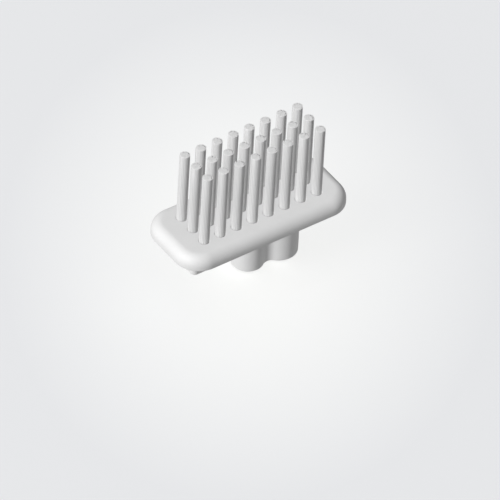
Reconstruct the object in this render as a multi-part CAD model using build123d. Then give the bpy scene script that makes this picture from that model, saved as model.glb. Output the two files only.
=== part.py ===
from build123d import *

import os
from math import cos, pi, sin, sqrt

# Snap-in toothbrush head: one moulded body with a keyed boss under it, and stapled tufts on top.
# Millimetres. +Z runs up along the tufts, +X along the rows from the tip to the heel, +Y across the head.
# The origin is under the middle of the plate, in the plane of the boss's end.

# Plate, which stands out past the plinth all round
plate_length = 26.9
plate_width = 12.0
plate_thickness = 2.1
plate_edge_height = 0.6                     # of the upright side, below the round
plate_corner_radius = 3.6

# Tuft holes, spread evenly over the plate
tuft_rows = ("front", "middle", "back")     # from -Y to +Y
tufts_per_row = 8
tuft_end_margin = 3.6                       # from the last holes of a row to the plate's ends
tuft_side_margin = 2.6                      # from the outer rows' holes to the plate's sides
tuft_hole_depth = 3.2

# Tuft
tuft_diameter = 1.45
tuft_free_length = 11.4                     # from the plate's top to the trimmed ends
tuft_clearance = 0.02                       # radial, between a bundle and its hole
outer_bristles = 20                         # round the outside of a bundle
groove_depth = 0.1                          # between two of them

# Flat metal staple that a tuft is folded round, wedged corner to corner across the hole
anchor_thickness = 0.3
anchor_height = 1.3
anchor_turn = 30                            # degrees from the row, so that a row isn't split
fold_thickness = 0.6                        # bristles under the staple

# Plinth, which gives the tuft holes their depth
plinth_end_wall = 1.6                       # beyond the tuft holes
plinth_side_wall = 0.4
plinth_depth = 2.5
plinth_corner_radius = 0.7
plinth_lead_in = 0.2

# Retaining rib high on each long side of the plinth
rib_length = 9.8
rib_height = 1.4
rib_thickness = 0.3
rib_lead_in = 0.2
rib_offset_x = 1.7                          # from the middle of the plate towards the heel

# Boss of two unequal lobes, so that the head fits one way round only
tip_lobe_radius = 2.25
handle_lobe_radius = 2.7
lobe_spacing = 5.0
tip_lobe_x = 0.25                           # from the middle of the plate towards the heel
waist_radius = 1.4                          # concave, tangent to both lobes
boss_length = 5.8                           # below the plinth
boss_lead_in = 0.25

# Sizes that follow from these
plate_top_round = plate_thickness - plate_edge_height
hole_diameter = tuft_diameter + 2 * tuft_clearance
field_length = plate_length - 2 * tuft_end_margin
field_width = plate_width - 2 * tuft_side_margin
tuft_pitch_x = (field_length - hole_diameter) / (tufts_per_row - 1)
tuft_pitch_y = (field_width - hole_diameter) / (len(tuft_rows) - 1)
groove_radius = tuft_diameter / 2 - groove_depth
plinth_length = field_length + 2 * plinth_end_wall
plinth_width = field_width + 2 * plinth_side_wall
anchor_length = sqrt(hole_diameter**2 - anchor_thickness**2)

# Heights above the boss's end
plinth_z = boss_length
seat_z = plinth_z + plinth_depth
plate_top_z = seat_z + plate_thickness
hole_floor_z = plate_top_z - tuft_hole_depth
anchor_z = hole_floor_z + fold_thickness
trim_z = plate_top_z + tuft_free_length


def prism(profile, low, high):
    """A flat profile carried straight up from one height to another."""
    return extrude(Pos(0, 0, low) * profile, high - low)


def bottom_edges(solid):
    return solid.faces().sort_by(Axis.Z)[0].edges()


def top_edges(solid):
    return solid.faces().sort_by(Axis.Z)[-1].edges()


def plate():
    """Rounded slab with a large round along its top edge."""
    slab = prism(RectangleRounded(plate_length, plate_width, plate_corner_radius), seat_z, plate_top_z)
    return fillet(top_edges(slab), plate_top_round)


def plinth():
    """Block under the tuft field, with a retaining rib on each long side."""
    block = prism(RectangleRounded(plinth_length, plinth_width, plinth_corner_radius), plinth_z, seat_z)
    block = chamfer(bottom_edges(block), plinth_lead_in)
    ribs = prism(Rectangle(rib_length, plinth_width + 2 * rib_thickness), seat_z - rib_height, seat_z)
    ribs = chamfer(bottom_edges(ribs), rib_lead_in)
    return block + Pos(rib_offset_x, 0) * ribs


def boss_outline():
    """Two round lobes joined by a waist, whose concave sides are arcs tangent to both lobes."""
    tip_reach = tip_lobe_radius + waist_radius
    handle_reach = handle_lobe_radius + waist_radius
    arc_x = (lobe_spacing**2 + tip_reach**2 - handle_reach**2) / (2 * lobe_spacing)
    arc_y = sqrt(tip_reach**2 - arc_x**2)
    web = Polygon((0, 0), (arc_x, -arc_y), (lobe_spacing, 0), (arc_x, arc_y), align=None)
    web -= [Pos(arc_x, side * arc_y) * Circle(waist_radius) for side in (-1, 1)]
    lobes = Circle(tip_lobe_radius) + Pos(lobe_spacing, 0) * Circle(handle_lobe_radius)
    return Pos(tip_lobe_x, 0) * (lobes + web)


def boss():
    """Figure-eight plug with a lead-in round its end."""
    return chamfer(bottom_edges(prism(boss_outline(), 0, plinth_z)), boss_lead_in)


def tuft_places():
    """Name, place and turn of every tuft, each row numbered from the tip towards the heel."""
    for row, name in enumerate(tuft_rows):
        y = (row - (len(tuft_rows) - 1) / 2) * tuft_pitch_y
        for column in range(tufts_per_row):
            x = (column - (tufts_per_row - 1) / 2) * tuft_pitch_x
            yield f"tuft_{name}_{column + 1}", Pos(x, y) * Rot(0, 0, anchor_turn)


def head_body():
    """Plate, plinth and boss moulded in one, with a blind hole for every tuft."""
    hole = prism(Circle(hole_diameter / 2), hole_floor_z, plate_top_z)
    return plate() + plinth() + boss() - [place * hole for _, place in tuft_places()]


def anchor():
    """Staple: a flat strip on edge across the hole, its corners against the hole's wall."""
    return prism(Rectangle(anchor_length, anchor_thickness), anchor_z, anchor_z + anchor_height)


def bundle_outline():
    """Fluted outline of a bundle: a ridge for each outer bristle, and a groove over the staple's ends."""
    step = pi / outer_bristles
    corners = [(n * step, tuft_diameter / 2 if n % 2 else groove_radius) for n in range(2 * outer_bristles)]
    return Polygon(*[(radius * cos(turn), radius * sin(turn)) for turn, radius in corners], align=None)


def tuft():
    """Bundle of bristles, folded round its staple and trimmed level."""
    return prism(bundle_outline(), hole_floor_z, trim_z) - anchor()


def main():
    os.makedirs("parts", exist_ok=True)
    export_step(head_body(), "parts/head_body.step")
    for name, place in tuft_places():
        export_step(place * tuft(), f"parts/{name}.step")
    anchors = Compound([place * anchor() for _, place in tuft_places()])
    export_step(anchors, "parts/tuft_anchors.step")


main()
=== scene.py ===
import math

import bmesh
import bpy
import numpy as np
from bpy.props import FloatProperty, FloatVectorProperty, PointerProperty
from mathutils import Matrix, Vector


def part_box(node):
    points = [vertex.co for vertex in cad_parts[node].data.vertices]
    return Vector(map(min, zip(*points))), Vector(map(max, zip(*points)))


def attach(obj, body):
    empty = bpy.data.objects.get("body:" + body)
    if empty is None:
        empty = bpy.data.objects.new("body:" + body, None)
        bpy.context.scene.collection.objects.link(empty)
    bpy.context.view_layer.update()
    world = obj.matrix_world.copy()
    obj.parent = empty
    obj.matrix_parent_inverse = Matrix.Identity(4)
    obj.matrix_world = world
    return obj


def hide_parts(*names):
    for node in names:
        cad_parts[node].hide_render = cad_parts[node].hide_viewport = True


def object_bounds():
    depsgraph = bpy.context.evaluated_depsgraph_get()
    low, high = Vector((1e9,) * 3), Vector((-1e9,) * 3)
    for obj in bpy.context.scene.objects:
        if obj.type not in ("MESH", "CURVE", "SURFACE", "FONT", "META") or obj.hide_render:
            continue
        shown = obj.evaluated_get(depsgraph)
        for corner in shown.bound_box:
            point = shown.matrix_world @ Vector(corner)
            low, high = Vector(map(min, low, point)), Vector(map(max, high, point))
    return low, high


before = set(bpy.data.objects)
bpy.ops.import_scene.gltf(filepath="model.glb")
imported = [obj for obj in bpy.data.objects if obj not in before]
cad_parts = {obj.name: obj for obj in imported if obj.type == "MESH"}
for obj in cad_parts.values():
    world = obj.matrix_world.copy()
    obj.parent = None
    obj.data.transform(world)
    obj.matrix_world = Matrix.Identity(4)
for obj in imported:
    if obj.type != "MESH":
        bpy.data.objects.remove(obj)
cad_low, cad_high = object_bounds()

bl_info = {
    "name": "Toothbrush Head",
    "version": (1, 0, 0),
    "blender": (4, 5, 0),
    "location": "3D View > Sidebar > Brush Head",
    "description": "Builds the moulded body, the bristle tufts and the stage of a snap-in toothbrush head",
    "category": "Object",
}

MM = 0.001                                      # metres
BODY = "root"
MOULDING = "head_body"
STAPLES = "tuft_anchors"

WELD = 1e-7                                     # metres, within which seams and poles are merged
PLACE_DIGITS = 6                                # decimals of a metre that tell two tufts apart
SHARP_ANGLE = math.radians(35)                  # edges that turn more than this stay crisp

# Points on the body's loops. A tuft's cell has CELL_POINTS on each of its four sides. Every loop round
# the body has a point for each one on the outer sides of the cells, and ARC_POINTS more in each corner.
CELL_POINTS = 12
ARC_POINTS = 24
ROUND_STEPS = 13                                # along the large round of the plate
SMALL_ROUND_STEPS = 5                           # along a small round

# Points of a filament. The stations of its tip are given from the top down: their depths as shares of the
# tip's height, how far the filament is spared the painted shade of the grooves there, and where the outside
# of the bundle begins. What lies across a bundle is a share of its radius.
FILAMENT_SIDES = 8
FILAMENT_SEED = 7                               # of the first tuft, and one more for each next one
TIP_DEPTHS = np.array([0.0, 0.3, 1.0, 2.0])
TIP_UNSHADED = np.array([1.0, 1.0, 0.8, 0.6])
TIP_INSIDES = np.array([1.0, 1.0, 0.88, 0.6])
FOLD_ANGLES = np.radians([45.0, 90.0, 135.0])   # along the half ellipse under the staple
OUTSIDE_RAMP = 0.2                              # over which a bundle's inside turns to its outside
GROOVE_REACH = (0.84, 0.97)                     # over which the painted groove shade fades, from the bottom of a groove to the outside of a filament

NOISE_SPAN = (0.3, 0.7)                         # that a noise texture mostly keeps within
EVEN_SCATTER = (1.0, 1.0, 1.0)                  # as far for red as for green and blue
WHITE = (1.0, 1.0, 1.0, 1.0)


def length(name, description, millimetres):
    """A length that is given in millimetres and kept in metres."""
    return FloatProperty(
        name=name, description=description, default=millimetres * MM, min=0.0, precision=5, unit="LENGTH"
    )


def angle(name, description, degrees):
    """An angle that is given in degrees and kept in radians."""
    return FloatProperty(name=name, description=description, default=math.radians(degrees), subtype="ANGLE")


def share(name, description, value):
    """A share between 0 and 1."""
    return FloatProperty(
        name=name, description=description, default=value, min=0.0, max=1.0, subtype="FACTOR"
    )


def colour(name, description, rgb):
    """An opaque colour, given as linear red, green and blue."""
    return FloatVectorProperty(
        name=name, description=description, default=(*rgb, 1.0), size=4, min=0.0, max=1.0, subtype="COLOR"
    )


class BodySizes(bpy.types.PropertyGroup):
    """Sizes of the moulded body. Its length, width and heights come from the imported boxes."""

    plate_thickness: length("Plate thickness", "From the seat under the plate to its top", 2.1)
    plate_edge_height: length("Plate edge", "Upright part of the plate's side, below the large round", 0.6)
    plate_corner_radius: length("Plate corners", "Radius of the plate's corners, seen from above", 3.6)
    plate_edge_round: length("Plate lower edge", "Small round between the plate's side and its seat", 0.08)
    hole_clearance: length("Hole clearance", "Radial gap between a tuft and its hole", 0.02)
    hole_mouth_round: length("Hole mouth", "Small round at the mouth of a tuft hole", 0.06)
    plinth_end_wall: length("Plinth end wall", "From the last tuft holes to the plinth's ends", 1.6)
    plinth_side_wall: length("Plinth side wall", "From the outer tuft holes to the plinth's sides", 0.4)
    plinth_depth: length("Plinth depth", "Below the plate's seat", 2.5)
    plinth_corner_radius: length("Plinth corners", "Radius of the plinth's upright corners", 0.7)
    plinth_lead_in: length("Plinth lead-in", "Chamfer round the plinth's lower edge", 0.2)
    rib_length: length("Rib length", "Of the retaining rib on each long side of the plinth", 9.8)
    rib_height: length("Rib height", "Below the plate's seat", 1.4)
    rib_thickness: length("Rib thickness", "How far a rib stands out of the plinth's side", 0.3)
    rib_lead_in: length("Rib lead-in", "Chamfer round a rib's lower edge", 0.2)
    rib_offset: length("Rib offset", "From the middle of the plate towards the heel", 1.7)
    tip_lobe_radius: length("Tip lobe", "Radius of the boss's lobe nearer the tip", 2.25)
    heel_lobe_radius: length("Heel lobe", "Radius of the boss's lobe nearer the heel", 2.7)
    lobe_spacing: length("Lobe spacing", "Between the centres of the two lobes", 5.0)
    tip_lobe_x: length("Tip lobe offset", "From the middle of the plate towards the heel", 0.25)
    waist_radius: length("Waist", "Radius of the concave sides between the lobes", 1.4)
    boss_lead_in: length("Boss lead-in", "Chamfer round the boss's end", 0.25)


class TuftSizes(bpy.types.PropertyGroup):
    """Sizes of the bristles. A tuft's place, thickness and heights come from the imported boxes."""

    filament_diameter: length("Filament", "Diameter of one nylon filament", 0.18)
    trim_spread: length("Trim spread", "How much the trimmed tips differ in height", 0.02)
    tip_height: length("Tip height", "Of the rounded end of a filament", 0.045)
    tip_stray: length("Tip stray", "How far a tip strays sideways, as a standard deviation", 0.02)
    staple_thickness: length("Staple thickness", "Of the strip that the filaments are folded round", 0.3)
    staple_turn: angle("Staple turn", "Of the strip from the line of a row", 30.0)
    bundling: share("Bundling", "How far a filament is shaded by its bundle, not its own roundness", 0.88)
    tone_spread: share("Tone spread", "How much darker than the palest filament another one may be", 0.05)
    # painted shade: how much the colour is darkened in the grooves between the filaments
    painted_groove_shade: share("Groove shade", "How much darker the grooves between the filaments are", 0.25)


class FinishColours(bpy.types.PropertyGroup):
    """Base colours of the finishes."""

    plastic: colour("Plastic", "Moulded body", (0.66, 0.66, 0.66))
    bristle: colour("Bristle", "Nylon filaments", (0.70, 0.70, 0.70))
    brass: colour("Brass", "Staples", (0.72, 0.57, 0.30))
    # floor is the colour at the middle of the painted pool of light on the floor
    floor: colour("Floor", "Pale floor under the head", (0.98, 0.985, 0.97))
    surroundings: colour("Surroundings", "Floor and backdrop away from the head", (0.768, 0.776, 0.791))


class StageSettings(bpy.types.PropertyGroup):
    """Camera, lights and floor."""

    azimuth: angle("Azimuth", "Of the camera round the head, from the front", -36.878)
    elevation: angle("Elevation", "Of the camera above the floor", 42.472)
    roll: angle("Roll", "Of the camera about its own axis", 3.356)
    frame_width: length("Frame width", "Seen across the picture at the head", 66.67)
    camera_distance: length("Camera distance", "From the aim, so long that the view looks parallel", 2000.0)
    aim_right: length("Aim right", "Of the picture's middle from the middle of the plate's top", 0.125)
    aim_down: length("Aim down", "Of the picture's middle from the middle of the plate's top", 6.02)
    light_azimuth: angle("Light azimuth", "Of both lights round the head, from the front", -86.0)
    light_elevation: angle("Light elevation", "Of both lights above the floor", 38.0)
    light_distance: length("Light distance", "Of both lights from the middle of the head", 800.0)
    sun_strength: FloatProperty(
        name="Sun", description="Of the main light, which casts no shadow", default=3.35, min=0.0
    )
    soft_power: FloatProperty(
        name="Soft light", description="Of the light that casts the faint shadow", default=0.4, unit="POWER"
    )
    soft_size: length("Soft light size", "Side of the square that it comes from", 450.0)
    ambient: FloatProperty(name="Ambient", description="Light from all round", default=0.34, min=0.0)
    floor_half_width: length("Floor", "Half the width of the floor", 1500.0)
    # The pale oval is a painted pool of light on the floor, palest under the head.
    painted_light_half_width: length("Pale oval", "Half the width of the paler floor under the head", 33.3)
    painted_light_half_depth: length("Pale oval depth", "Half its size in the direction of view", 49.4)
    painted_light_x: length("Pale oval x", "Of its middle", 1.87)
    painted_light_y: length("Pale oval y", "Of its middle", 1.69)


def tuft_nodes():
    """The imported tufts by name, row by row."""
    return sorted(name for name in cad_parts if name.startswith("tuft_") and name != STAPLES)


def tuft_boxes():
    """Lowest and highest corners of all tufts, as two arrays."""
    low, high = zip(*(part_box(name) for name in tuft_nodes()))
    return np.array(low), np.array(high)


def corner_signs(corner):
    """Signs of x and y at a rectangle's corners, counted anticlockwise from the lower right one."""
    return np.array([(1, -1), (1, 1), (-1, 1), (-1, -1)], float)[corner % 4]


def side_steps(counts):
    """The side that each point of a loop lies on, and the point's step along that side."""
    side = np.repeat(np.arange(4), counts)
    step = np.concatenate([np.arange(count) for count in counts])
    return side, step


def rectangle(half_x, half_y, counts):
    """Outline of a rectangle from its lower right corner, with evenly spaced points on each side."""
    side, step = side_steps(counts)
    along = (step / np.take(counts, side))[:, None]
    return ((1 - along) * corner_signs(side) + along * corner_signs(side + 1)) * (half_x, half_y)


def round_rectangle(half_x, half_y, radius, counts):
    """Outline and outward normals of a rounded rectangle, from the middle of its lower right corner.

    A point is a point of a smaller, sharp rectangle plus the radius times the normal. Along half an arc
    at each end of a side only the normal turns, and along the run between only the inner point moves.
    """
    side, step = side_steps(counts)
    half_arc = ARC_POINTS / 2
    run = np.take(counts, side) - ARC_POINTS
    turned_in = np.clip(step / half_arc, 0, 1)
    turned_out = np.clip((step - half_arc - run) / half_arc, 0, 1)
    turn = np.pi / 2 * side - np.pi / 4 * (1 - turned_in - turned_out)
    along = np.clip((step - half_arc) / run, 0, 1)[:, None]
    core = (1 - along) * corner_signs(side) + along * corner_signs(side + 1)
    normals = np.column_stack([np.cos(turn), np.sin(turn)])
    return core * (half_x - radius, half_y - radius) + radius * normals, normals


def carry(points, normals, inset, height):
    """A profile carried round an outline: a loop for each of its points, moved in by inset and lifted."""
    loops = points - np.asarray(inset)[:, None, None] * normals
    lifted = np.broadcast_to(np.asarray(height)[:, None, None], (*loops.shape[:2], 1))
    return np.concatenate([loops, lifted], axis=2)


def quarter(steps):
    """Sine and cosine of evenly spaced angles from 0 to 90 degrees."""
    turn = np.linspace(0, np.pi / 2, steps)
    return np.sin(turn), np.cos(turn)


def ring_faces(rows, columns, blocks=1):
    """Four-sided faces between closed rings that are stacked in rows, for one or more like blocks."""
    row, column = np.meshgrid(np.arange(rows - 1), np.arange(columns), indexing="ij")
    here = row * columns + column
    beside = row * columns + (column + 1) % columns
    quads = np.stack([here, beside, beside + columns, here + columns], axis=-1).reshape(-1, 4)
    starts = np.arange(blocks) * rows * columns
    return (starts[:, None, None] + quads).reshape(-1, 4)


def weld(mesh):
    """Merges the seams and poles of a mesh, turns its faces outwards and shades it smooth."""
    work = bmesh.new()
    work.from_mesh(mesh)
    bmesh.ops.remove_doubles(work, verts=work.verts, dist=WELD)
    bmesh.ops.dissolve_degenerate(work, edges=work.edges, dist=WELD)
    bmesh.ops.recalc_face_normals(work, faces=work.faces)
    work.to_mesh(mesh)
    work.free()
    mesh.shade_smooth()


def add_piece(name, mesh, finish, node):
    """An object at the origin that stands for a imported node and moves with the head."""
    mesh.materials.append(finish)
    piece = bpy.data.objects.new(name, mesh)
    bpy.context.scene.collection.objects.link(piece)
    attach(piece, BODY)
    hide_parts(node)
    return piece


class Head:
    """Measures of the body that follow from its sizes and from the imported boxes."""

    def __init__(self, sizes):
        low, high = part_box(MOULDING)
        tuft_low, tuft_high = tuft_boxes()
        self.half_length = high.x
        self.half_width = high.y
        self.end = low.z
        self.top = high.z
        self.seat = self.top - sizes.plate_thickness
        self.plinth_bottom = self.seat - sizes.plinth_depth
        self.centres = (tuft_low + tuft_high)[:, :2] / 2
        self.hole_floor = tuft_low[0, 2]
        self.hole_radius = (tuft_high - tuft_low)[0, 0] / 2 + sizes.hole_clearance
        self.columns, self.rows = (len(np.unique(line)) for line in self.centres.T.round(PLACE_DIGITS))
        reach = self.centres.max(axis=0)
        self.pitch = 2 * reach / (self.columns - 1, self.rows - 1)
        self.plinth_half = reach + self.hole_radius + (sizes.plinth_end_wall, sizes.plinth_side_wall)
        self.counts = ARC_POINTS + CELL_POINTS * np.array([self.rows, self.columns] * 2)


def hole_cells(head, sizes):
    """Every tuft hole with the rectangle of the plate's top round it.

    A cell runs in from the border to a circle, both with points at the same share of each side. The circle
    lies twice the mouth's radius off the wall. From there the cell goes in to the mouth, over its quarter
    round, down the wall and across the floor to a pole.
    """
    counts = [CELL_POINTS] * 4
    side, step = side_steps(counts)
    turn = np.pi / 2 * (side + step / CELL_POINTS - 0.5)
    circle = np.column_stack([np.cos(turn), np.sin(turn)])
    sine, cosine = quarter(SMALL_ROUND_STEPS)
    mouth = sizes.hole_mouth_round
    radius = np.concatenate([[2 * mouth], mouth * (1 - sine), [0, -head.hole_radius]]) + head.hole_radius
    height = np.concatenate([[head.top], head.top - mouth * (1 - cosine), [head.hole_floor] * 2])
    well = carry(np.zeros_like(circle), -circle, radius, height)
    border = carry(rectangle(*head.pitch / 2, counts), circle, [0.0], [head.top])
    cell = np.concatenate([border, well])
    places = np.column_stack([head.centres, np.zeros(len(head.centres))])
    return places[:, None, None, :] + cell


def plate_loops(head, sizes):
    """From the border of the tuft field over the plate's large round and down its side to the seat."""
    points, normals = round_rectangle(
        head.half_length, head.half_width, sizes.plate_corner_radius, head.counts
    )
    large = sizes.plate_thickness - sizes.plate_edge_height
    small = sizes.plate_edge_round
    sine, cosine = quarter(ROUND_STEPS)
    small_sine, small_cosine = quarter(SMALL_ROUND_STEPS)
    inset = np.concatenate([[large + small], large * (1 - sine), small * (1 - small_cosine)])
    height = np.concatenate(
        [[head.top], head.top - large * (1 - cosine), head.seat + small * (1 - small_sine)]
    )
    field, _ = round_rectangle(*head.pitch * (head.columns, head.rows) / 2, 0.0, head.counts)
    return np.concatenate([carry(field, normals, [0.0], [head.top]), carry(points, normals, inset, height)])


def plinth_loop(head, sizes, rib_reach, rib_shorter, inset, height):
    """The plinth's outline at one height, with its ribs standing out by rib_reach.

    The straight run of each long side is laid out through the ends of its rib, where two points share
    an x, so that the rib's end face stands square.
    """
    points, normals = round_rectangle(*head.plinth_half, sizes.plinth_corner_radius, head.counts)
    points = points - inset * normals
    side, step = side_steps(head.counts)
    count = head.counts[1]
    half_arc = ARC_POINTS / 2
    core = head.plinth_half[0] - sizes.plinth_corner_radius
    rib_half = sizes.rib_length / 2 - rib_shorter
    rib_ends = sizes.rib_offset + np.array([rib_half, -rib_half])
    spans = -np.diff([core, *rib_ends, -core])
    before, along, _ = np.round(spans / spans.sum() * (count - ARC_POINTS - 2))
    rib_start = half_arc + before + 1
    rib_stop = rib_start + along
    stops = [half_arc, rib_start - 1, rib_start, rib_stop, rib_stop + 1, count - half_arc]
    run = np.where(side == 1, step, count - step)
    straight = (side % 2 == 1) & (run >= half_arc) & (run <= count - half_arc)
    x = np.interp(run, stops, [core, *np.repeat(rib_ends, 2), -core])
    on_rib = straight & (run >= rib_start) & (run <= rib_stop)
    points[:, 0] = np.where(straight, x, points[:, 0])
    points[:, 1] += np.where(on_rib, rib_reach, 0.0) * np.sign(points[:, 1])
    return carry(points, normals, [0.0], [height])[0]


def plinth_loops(head, sizes):
    """From the seat down the plinth's sides, past its ribs, to the lead-in at its lower edge.

    A level gives how far the ribs stand out, how much shorter they are at each end, the inset and the height.
    """
    rib_bottom = head.seat - sizes.rib_height
    lead_in = sizes.rib_lead_in
    levels = [
        (sizes.rib_thickness, 0.0, 0.0, head.seat),
        (sizes.rib_thickness, 0.0, 0.0, rib_bottom + lead_in),
        (sizes.rib_thickness - lead_in, lead_in, 0.0, rib_bottom),
        (0.0, lead_in, 0.0, rib_bottom),
        (0.0, lead_in, 0.0, head.plinth_bottom + sizes.plinth_lead_in),
        (0.0, lead_in, sizes.plinth_lead_in, head.plinth_bottom),
    ]
    return np.stack([plinth_loop(head, sizes, *level) for level in levels])


def boss_outline(sizes, plan):
    """Outline and outward normals of the figure-eight boss, and the middle of its waist.

    From the middle of the waist, a ray towards each point of plan leaves the boss on the far side of a
    lobe's circle or, between the points where waist and lobes touch, on the near side of a waist circle.
    """
    tip_reach = sizes.tip_lobe_radius + sizes.waist_radius
    heel_reach = sizes.heel_lobe_radius + sizes.waist_radius
    waist_x = (sizes.lobe_spacing**2 + tip_reach**2 - heel_reach**2) / (2 * sizes.lobe_spacing)
    waist_y = math.sqrt(tip_reach**2 - waist_x**2)
    middle = np.array([sizes.tip_lobe_x + waist_x, 0.0])
    tip = np.array([-waist_x, 0.0])
    heel = tip + (sizes.lobe_spacing, 0.0)
    waist = np.array([0.0, waist_y])
    tip_touch = tip + (waist - tip) * sizes.tip_lobe_radius / tip_reach
    heel_touch = heel + (waist - heel) * sizes.heel_lobe_radius / heel_reach
    rays = plan - middle
    turn = np.arctan2(rays[:, 1], rays[:, 0])
    rays = np.column_stack([np.cos(turn), np.sin(turn)])
    on_heel = np.abs(turn) < math.atan2(heel_touch[1], heel_touch[0])
    on_tip = np.abs(turn) > math.atan2(tip_touch[1], tip_touch[0])
    which = np.where(on_heel, 0, np.where(on_tip, 1, np.where(turn > 0, 2, 3)))
    centres = np.array([heel, tip, waist, -waist])[which]
    radii = np.array([sizes.heel_lobe_radius, sizes.tip_lobe_radius] + [sizes.waist_radius] * 2)[which]
    far = np.array([1.0, 1.0, -1.0, -1.0])[which]
    along = (centres * rays).sum(axis=1)
    reach = along + far * np.sqrt(along**2 - (centres**2).sum(axis=1) + radii**2)
    points = reach[:, None] * rays
    normals = (far / radii)[:, None] * (points - centres)
    return middle + points, normals, middle


def boss_loops(head, sizes, plan):
    """From the plinth's underside down the boss and round its lead-in to a pole in its end face."""
    points, normals, middle = boss_outline(sizes, plan)
    lead_in = sizes.boss_lead_in
    walls = carry(points, normals, [0.0, 0.0, lead_in], [head.plinth_bottom, head.end + lead_in, head.end])
    pole = carry(np.broadcast_to(middle, points.shape), normals, [0.0], [head.end])
    return np.concatenate([walls, pole])


def body_mesh(sizes):
    """Mesh of the body: the cells of the tuft holes, and the loops from there to the boss's end."""
    head = Head(sizes)
    cells = hole_cells(head, sizes)
    plinth = plinth_loops(head, sizes)
    loops = np.concatenate([plate_loops(head, sizes), plinth, boss_loops(head, sizes, plinth[-1, :, :2])])
    cell_faces = ring_faces(*cells.shape[1:3], blocks=len(cells))
    loop_faces = ring_faces(*loops.shape[:2]) + cells.size // 3
    vertices = np.concatenate([cells.reshape(-1, 3), loops.reshape(-1, 3)])
    mesh = bpy.data.meshes.new("moulded_body")
    mesh.from_pydata(vertices, [], np.concatenate([cell_faces, loop_faces]))
    weld(mesh)
    mesh.set_sharp_from_angle(angle=SHARP_ANGLE)
    return mesh


def filament_places(rings, pitch):
    """Places of half the bristles of a tuft, on rings of 2, 8, 14, 20 and so on, one pitch apart.

    The first ring has half that radius. A ring whose count is a multiple of four starts half a step on,
    so that no bristle lies in the plane of the staple.
    """
    counts = 6 * np.arange(1, rings + 1) - 4
    count = np.repeat(counts, counts)
    step = np.concatenate([np.arange(number) for number in counts]) + np.where(count % 4, 0.0, 0.5)
    turn = 2 * np.pi * step / count
    radius = pitch * (np.repeat(np.arange(rings), counts) + 0.5)
    places = radius[:, None] * np.column_stack([np.cos(turn), np.sin(turn)])
    return places[places[:, 0] > 0]


def filament_paths(tuft_radius, heights, sizes, random):
    """Centre lines of a tuft's filaments, and the filament's radius.

    A filament comes down from one tip to the plate, is pressed aside by the staple, turns below it along
    half an ellipse and goes up to its other tip. It strays with the square of its height above the plate.
    Coordinates are across the staple, along it and up.
    """
    floor, staple_low, staple_high, mouth, trim = heights
    radius = sizes.filament_diameter / 2
    rings = round(tuft_radius / sizes.filament_diameter)
    places = filament_places(rings, (tuft_radius - radius) / (rings - 0.5))
    number = len(places)
    pressed = places.copy()
    aside = sizes.staple_thickness / 2 + radius
    pressed[:, 0] = aside + places[:, 0] * (1 - aside / tuft_radius)
    limit = tuft_radius - radius
    pressed *= np.minimum(1, limit / np.linalg.norm(pressed, axis=1))[:, None]

    stray = random.normal(0.0, sizes.tip_stray, (2, number, 2))
    tips = trim - sizes.trim_spread * random.random((2, number))
    tip_heights = tips[:, :, None] - sizes.tip_height * TIP_DEPTHS
    middle = (tips + mouth)[:, :, None] / 2
    lower = np.broadcast_to([mouth, staple_high, staple_low], (2, number, 3))
    height = np.concatenate([tip_heights, middle, lower], axis=2)
    bow = np.clip((height - mouth) / (trim - mouth), 0, 1)[..., None] ** 2
    base = np.where((height >= mouth)[..., None], places[None, :, None], pressed[None, :, None])
    mirrored = np.array([[1, 1], [-1, 1]])      # the second leg lies across the staple from the first
    base = base * mirrored[:, None, None, :]
    legs = np.concatenate([base + bow * stray[:, :, None], height[..., None]], axis=3)

    depth = (staple_low - floor - radius) * pressed[:, :1] / pressed[:, 0].max()
    fold = np.stack(
        [
            pressed[:, :1] * np.cos(FOLD_ANGLES),
            np.broadcast_to(pressed[:, 1:], (number, len(FOLD_ANGLES))),
            staple_low - depth * np.sin(FOLD_ANGLES),
        ],
        axis=2,
    )
    return np.concatenate([legs[0], fold, legs[1][:, ::-1]], axis=1), radius


def unit(vectors):
    """Vectors of length 1. One that has no length stays as it is."""
    size = np.linalg.norm(vectors, axis=-1, keepdims=True)
    return vectors / np.where(size > 0, size, 1.0)


def filament_tubes(paths, radius, bundling):
    """Round tubes along centre lines with domed tips, the normals that they are shaded with, and an unshaded
    share.

    At each station a circle lies across the path. Its radius follows a half ellipse at a tip. A normal is
    the tube's own one, turned by the share of bundling towards the bundle's. That is up on a tip, and away
    from the tuft's axis on the shaft. Between the two it turns outwards first on the outside of the bundle.
    The unshaded share is 1 on the tips and along the outside of the bundle, and falls to 0 in its grooves,
    where shade is painted.
    """
    direction = unit(np.gradient(paths, axis=1))
    across = unit(np.cross(direction, (0.0, 1.0, 0.0)))
    third = np.cross(direction, across)
    turn = np.linspace(0, 2 * np.pi, FILAMENT_SIDES, endpoint=False)[:, None]
    circle = np.cos(turn) * across[:, :, None] + np.sin(turn) * third[:, :, None]

    shaft = np.zeros(paths.shape[1] - 2 * len(TIP_DEPTHS))
    dome = np.maximum(1 - TIP_DEPTHS, 0)
    rise = np.concatenate([dome, shaft, dome[::-1]])[:, None, None]
    swell = np.sqrt(1 - rise**2)
    rings = paths[:, :, None] + radius * swell * circle
    upward = np.array([0.0, 0.0, 1.0])
    outward = unit(rings * (1.0, 1.0, 0.0))
    reach = np.linalg.norm(rings[..., :2], axis=-1, keepdims=True)
    reach /= reach.max()
    inside = np.concatenate([TIP_INSIDES, shaft - OUTSIDE_RAMP, TIP_INSIDES[::-1]])[:, None, None]
    outside = np.clip((reach - inside) / OUTSIDE_RAMP, 0, 1)
    bundle = outside * outward + (1 - outside) * upward
    own = swell * circle + rise * upward
    # where the painted groove shade is spared: the tips and the outside of the bundle
    tip_unshaded = np.concatenate([TIP_UNSHADED, shaft, TIP_UNSHADED[::-1]])[:, None, None]
    unshaded = np.maximum(np.interp(reach, GROOVE_REACH, (0.0, 1.0)), tip_unshaded)
    return rings, unit((1 - bundling) * own + bundling * bundle), unshaded


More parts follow.
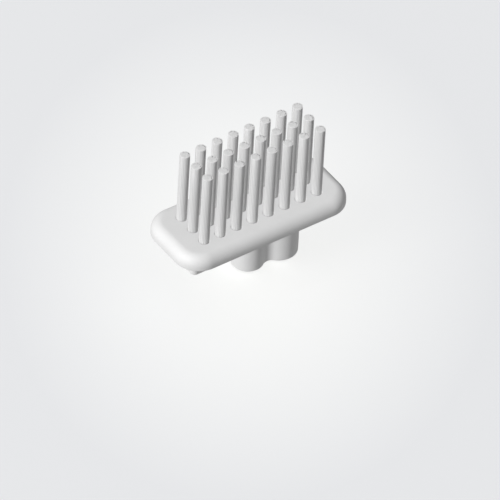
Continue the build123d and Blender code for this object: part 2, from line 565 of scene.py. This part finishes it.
def bristle_mesh(node, sizes, seed):
    """Mesh of one tuft. Its attribute shade is each filament's own tone, darkened in the grooves by painted
    shade.

    The normals go through the weld as an attribute.
    """
    random = np.random.default_rng(seed)
    low, high = (np.array(corner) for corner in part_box(node))
    staple_low, staple_high = (corner.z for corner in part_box(STAPLES))
    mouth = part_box(MOULDING)[1].z
    heights = (low[2], staple_low, staple_high, mouth, high[2])
    paths, radius = filament_paths((high[0] - low[0]) / 2, heights, sizes, random)
    rings, normals, unshaded = filament_tubes(paths, radius, sizes.bundling)
    sine, cosine = math.sin(sizes.staple_turn), math.cos(sizes.staple_turn)
    axes = np.array([(-sine, cosine, 0.0), (cosine, sine, 0.0), (0.0, 0.0, 1.0)])
    place = np.append((low + high)[:2] / 2, 0.0)
    tone = 1 - sizes.tone_spread * random.random((len(rings), 1, 1, 1))
    # painted shade: the colour is darkened in the grooves between the filaments, where shade would fall
    shade = tone * (1 - sizes.painted_groove_shade * (1 - unshaded))

    mesh = bpy.data.meshes.new(node.replace("tuft", "bristles"))
    vertices = (rings @ axes + place).reshape(-1, 3)
    mesh.from_pydata(vertices, [], ring_faces(*rings.shape[1:3], blocks=len(rings)))
    mesh.attributes.new("shade", "FLOAT", "POINT").data.foreach_set("value", shade.ravel())
    bundle = mesh.attributes.new("bundle", "FLOAT_VECTOR", "POINT")
    bundle.data.foreach_set("vector", (normals @ axes).ravel())
    weld(mesh)
    bundle = mesh.attributes["bundle"]
    kept = np.empty(3 * len(mesh.vertices))
    bundle.data.foreach_get("vector", kept)
    mesh.attributes.remove(bundle)
    mesh.normals_split_custom_set_from_vertices(unit(kept.reshape(-1, 3)))
    return mesh


def set_inputs(tree, node, **inputs):
    """Sets a node's sockets to values, or links them. Underscores stand for the spaces in their names."""
    for name, value in inputs.items():
        socket = node.inputs[name.replace("_", " ")]
        if isinstance(value, bpy.types.NodeSocket):
            tree.links.new(value, socket)
        else:
            socket.default_value = value


def add_node(tree, kind, **inputs):
    """A new shader node with its sockets set or linked."""
    node = tree.nodes.new(kind)
    set_inputs(tree, node, **inputs)
    return node


def surface_grain():
    """Shared effect: slow changes of tone over a surface, and a fine grain for its relief."""
    group = bpy.data.node_groups.get("Surface grain")
    if group:
        return group
    group = bpy.data.node_groups.new("Surface grain", "ShaderNodeTree")
    sockets = group.interface
    for name in ("Tone Scale", "Grain Scale"):
        sockets.new_socket(name, in_out="INPUT", socket_type="NodeSocketFloat")
    for name in ("Tone", "Grain"):
        sockets.new_socket(name, in_out="OUTPUT", socket_type="NodeSocketFloat")
    given = group.nodes.new("NodeGroupInput").outputs
    place = group.nodes.new("ShaderNodeTexCoord").outputs["Object"]
    tone = add_node(group, "ShaderNodeTexNoise", Vector=place, Scale=given["Tone Scale"], Detail=3.0)
    grain = add_node(group, "ShaderNodeTexNoise", Vector=place, Scale=given["Grain Scale"], Detail=2.0)
    add_node(group, "NodeGroupOutput", Tone=tone.outputs["Fac"], Grain=grain.outputs["Fac"])
    return group


def new_material(name):
    """A node material with its tree and its own shader."""
    material = bpy.data.materials.new(name)
    material.use_nodes = True
    tree = material.node_tree
    return material, tree, tree.nodes["Principled BSDF"]


def place_grain(tree, tone_scale, grain_scale):
    """The shared grain in a material, with that material's own scales."""
    grain = tree.nodes.new("ShaderNodeGroup")
    grain.node_tree = surface_grain()
    set_inputs(tree, grain, Tone_Scale=tone_scale, Grain_Scale=grain_scale)
    return grain.outputs["Tone"], grain.outputs["Grain"]


def ramp(tree, value, low, high):
    """A value that goes from low to high as a noise goes over its usual span."""
    start, end = NOISE_SPAN
    node = add_node(
        tree, "ShaderNodeMapRange", Value=value, From_Min=start, From_Max=end, To_Min=low, To_Max=high
    )
    return node.outputs["Result"]


def shaded(tree, rgba, brightness):
    """A colour whose brightness follows a value."""
    node = add_node(tree, "ShaderNodeHueSaturation", Color=rgba, Value=brightness)
    return node.outputs["Color"]


def relief(tree, height, strength, distance):
    """A normal that follows a fine height."""
    bump = add_node(tree, "ShaderNodeBump", Height=height, Strength=strength, Distance=distance)
    return bump.outputs["Normal"]


def plastic_finish(rgba):
    """Satin moulded plastic with a faint eroded texture and slight clouding."""
    material, tree, shader = new_material("Moulded plastic")
    tone, grain = place_grain(tree, tone_scale=350.0, grain_scale=9000.0)
    set_inputs(
        tree,
        shader,
        Base_Color=shaded(tree, rgba, ramp(tree, tone, low=0.975, high=1.01)),
        Roughness=ramp(tree, grain, low=0.58, high=0.68),
        Normal=relief(tree, grain, strength=0.25, distance=0.006 * MM),
        Specular_IOR_Level=0.55,
        Subsurface_Weight=0.12,
        Subsurface_Radius=EVEN_SCATTER,
        Subsurface_Scale=0.3 * MM,
    )
    return material


def bristle_finish(rgba):
    """Nylon filaments that differ a little in tone from one to the next, with painted shade in the grooves.
    """
    material, tree, shader = new_material("Nylon bristle")
    tone, grain = place_grain(tree, tone_scale=500.0, grain_scale=12000.0)
    # the shade attribute carries each filament's own tone and the painted shade of the grooves
    own = tree.nodes.new("ShaderNodeAttribute")
    own.attribute_name = "shade"
    set_inputs(
        tree,
        shader,
        Base_Color=shaded(tree, rgba, own.outputs["Fac"]),
        Roughness=ramp(tree, tone, low=0.30, high=0.42),
        Normal=relief(tree, grain, strength=0.15, distance=0.002 * MM),
        Subsurface_Weight=0.25,
        Subsurface_Radius=EVEN_SCATTER,
        Subsurface_Scale=0.2 * MM,
    )
    return material


def brass_finish(rgba):
    """Rolled brass strip, a little dull."""
    material, tree, shader = new_material("Staple brass")
    tone, grain = place_grain(tree, tone_scale=1500.0, grain_scale=15000.0)
    set_inputs(
        tree,
        shader,
        Base_Color=shaded(tree, rgba, ramp(tree, tone, low=0.9, high=1.05)),
        Roughness=ramp(tree, grain, low=0.28, high=0.45),
        Metallic=1.0,
    )
    return material


def floor_finish(near, far, stage):
    """Matt floor with a painted pool of light: palest under the head, its tone falls evenly from there to the
    rim of an oval.
    """
    material, tree, shader = new_material("Pale floor")
    oval = add_node(
        tree,
        "ShaderNodeMapping",
        Vector=tree.nodes.new("ShaderNodeTexCoord").outputs["Object"],
        Location=(stage.painted_light_x, stage.painted_light_y, cad_low.z),
        Rotation=(0.0, 0.0, stage.azimuth),
        Scale=(stage.painted_light_half_width, stage.painted_light_half_depth, 1.0),
    )
    oval.vector_type = "TEXTURE"
    away = add_node(tree, "ShaderNodeVectorMath", Vector=oval.outputs["Vector"])
    away.operation = "LENGTH"
    # painted light: the floor's colour is palest under the head and darker away from it
    tone = add_node(tree, "ShaderNodeMixRGB", Fac=away.outputs["Value"], Color1=near, Color2=far)
    set_inputs(tree, shader, Base_Color=tone.outputs["Color"], Roughness=0.9, Specular_IOR_Level=0.1)
    return material


def toward(azimuth, elevation):
    """Unit vector from the head towards a viewpoint or a light: azimuth 0 is in front, at -Y."""
    level = math.cos(elevation)
    return Vector((level * math.sin(azimuth), -level * math.cos(azimuth), math.sin(elevation)))


def add_floor(stage, finish):
    """Square floor in the plane that the head stands on. It throws no light up at the head."""
    half = stage.floor_half_width
    corners = np.append(rectangle(half, half, [1] * 4), np.full((4, 1), cad_low.z), axis=1)
    mesh = bpy.data.meshes.new("floor")
    mesh.from_pydata(corners, [], [(0, 1, 2, 3)])
    mesh.materials.append(floor_finish(finish.floor, finish.surroundings, stage))
    floor = bpy.data.objects.new("floor", mesh)
    floor.visible_diffuse = False
    bpy.context.scene.collection.objects.link(floor)


def add_world(stage, finish):
    """Even light from all round, which the camera sees as a pale backdrop."""
    world = bpy.data.worlds.new("Surroundings")
    world.use_nodes = True
    bpy.context.scene.world = world
    tree = world.node_tree
    light = tree.nodes["Background"]
    set_inputs(tree, light, Color=WHITE, Strength=stage.ambient)
    seen = add_node(tree, "ShaderNodeBackground", Color=finish.surroundings)
    path = tree.nodes.new("ShaderNodeLightPath")
    choice = tree.nodes.new("ShaderNodeMixShader")
    sources = (path.outputs["Is Camera Ray"], light.outputs["Background"], seen.outputs["Background"])
    for source, socket in zip(sources, choice.inputs):
        tree.links.new(source, socket)
    set_inputs(tree, tree.nodes["World Output"], Surface=choice.outputs["Shader"])


def add_light(name, kind, direction, distance):
    """A lamp that shines on the middle of the head from a direction."""
    data = bpy.data.lights.new(name, kind)
    lamp = bpy.data.objects.new(name, data)
    bpy.context.scene.collection.objects.link(lamp)
    lamp.location = (cad_low + cad_high) / 2 + direction * distance
    lamp.rotation_euler = direction.to_track_quat("Z", "Y").to_euler()
    return data


def add_lights(stage):
    """A weak soft light from the tip's side, and the sun, from the same side, which casts no shadow."""
    direction = toward(stage.light_azimuth, stage.light_elevation)
    soft = add_light("soft_light", "AREA", direction, stage.light_distance)
    soft.size = stage.soft_size
    soft.energy = stage.soft_power
    sun = add_light("sun", "SUN", direction, stage.light_distance)
    sun.energy = stage.sun_strength
    sun.use_shadow = False


def add_camera(stage):
    """Camera at the photograph's angle, whose picture is frame_width across at the head."""
    back = toward(stage.azimuth, stage.elevation)
    level_right = Vector((math.cos(stage.azimuth), math.sin(stage.azimuth), 0.0))
    turn = Matrix.Rotation(stage.roll, 3, back)
    right = turn @ level_right
    up = back.cross(right)
    plate_top = Vector((0.0, 0.0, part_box(MOULDING)[1].z))
    aim = plate_top + stage.aim_right * right - stage.aim_down * up
    data = bpy.data.cameras.new("camera")
    data.lens = data.sensor_width * stage.camera_distance / stage.frame_width
    data.clip_end = 2 * stage.camera_distance
    camera = bpy.data.objects.new("camera", data)
    axes = Matrix((right, up, back)).transposed().to_4x4()
    camera.matrix_world = Matrix.Translation(aim + back * stage.camera_distance) @ axes
    bpy.context.scene.collection.objects.link(camera)
    bpy.context.scene.camera = camera


class BRUSHHEAD_OT_moulded_body(bpy.types.Operator):
    """Builds the moulded body with its tuft holes, plinth, ribs and keyed boss"""

    bl_idname = "brushhead.moulded_body"
    bl_label = "Moulded body"

    def execute(self, context):
        mesh = body_mesh(context.scene.brush_body)
        finish = plastic_finish(context.scene.brush_finish.plastic)
        add_piece(mesh.name, mesh, finish, MOULDING)
        return {"FINISHED"}


class BRUSHHEAD_OT_bristles(bpy.types.Operator):
    """Builds every tuft as a bundle of filaments folded round its staple"""

    bl_idname = "brushhead.bristles"
    bl_label = "Bristle tufts"

    def execute(self, context):
        finish = bristle_finish(context.scene.brush_finish.bristle)
        for number, node in enumerate(tuft_nodes()):
            mesh = bristle_mesh(node, context.scene.brush_tufts, FILAMENT_SEED + number)
            tuft = add_piece(mesh.name, mesh, finish, node)
            tuft.visible_diffuse = False        # so that close tufts don't darken the plate and each other
        return {"FINISHED"}


class BRUSHHEAD_OT_staples(bpy.types.Operator):
    """Gives the staples in the tuft holes their brass"""

    bl_idname = "brushhead.staples"
    bl_label = "Staples"

    def execute(self, context):
        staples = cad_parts[STAPLES].data
        staples.materials.clear()
        staples.materials.append(brass_finish(context.scene.brush_finish.brass))
        return {"FINISHED"}


class BRUSHHEAD_OT_stage(bpy.types.Operator):
    """Sets up the pale floor, the lights and the camera"""

    bl_idname = "brushhead.stage"
    bl_label = "Stage"

    def execute(self, context):
        stage = context.scene.brush_stage
        finish = context.scene.brush_finish
        context.scene.view_settings.view_transform = "Standard"
        add_floor(stage, finish)
        add_world(stage, finish)
        add_lights(stage)
        add_camera(stage)
        return {"FINISHED"}


OPERATORS = (
    BRUSHHEAD_OT_moulded_body,
    BRUSHHEAD_OT_bristles,
    BRUSHHEAD_OT_staples,
    BRUSHHEAD_OT_stage,
)
SETTINGS = {
    "brush_body": BodySizes,
    "brush_tufts": TuftSizes,
    "brush_finish": FinishColours,
    "brush_stage": StageSettings,
}


class BRUSHHEAD_PT_panel(bpy.types.Panel):
    """Lists the steps that build the head, and its settings"""

    bl_idname = "BRUSHHEAD_PT_panel"
    bl_label = "Toothbrush Head"
    bl_space_type = "VIEW_3D"
    bl_region_type = "UI"
    bl_category = "Brush Head"

    def draw(self, context):
        for operator in OPERATORS:
            self.layout.operator(operator.bl_idname)
        for name in SETTINGS:
            settings = getattr(context.scene, name)
            box = self.layout.box()
            for key in settings.__annotations__:
                box.prop(settings, key)


def register():
    for name, group in SETTINGS.items():
        bpy.utils.register_class(group)
        setattr(bpy.types.Scene, name, PointerProperty(type=group))
    for operator in OPERATORS:
        bpy.utils.register_class(operator)
    bpy.utils.register_class(BRUSHHEAD_PT_panel)


def unregister():
    bpy.utils.unregister_class(BRUSHHEAD_PT_panel)
    for operator in reversed(OPERATORS):
        bpy.utils.unregister_class(operator)
    for name, group in reversed(SETTINGS.items()):
        delattr(bpy.types.Scene, name)
        bpy.utils.unregister_class(group)


def main():
    register()
    bpy.ops.brushhead.moulded_body()
    bpy.ops.brushhead.bristles()
    bpy.ops.brushhead.staples()
    bpy.ops.brushhead.stage()


if __name__ == "__main__":
    main()
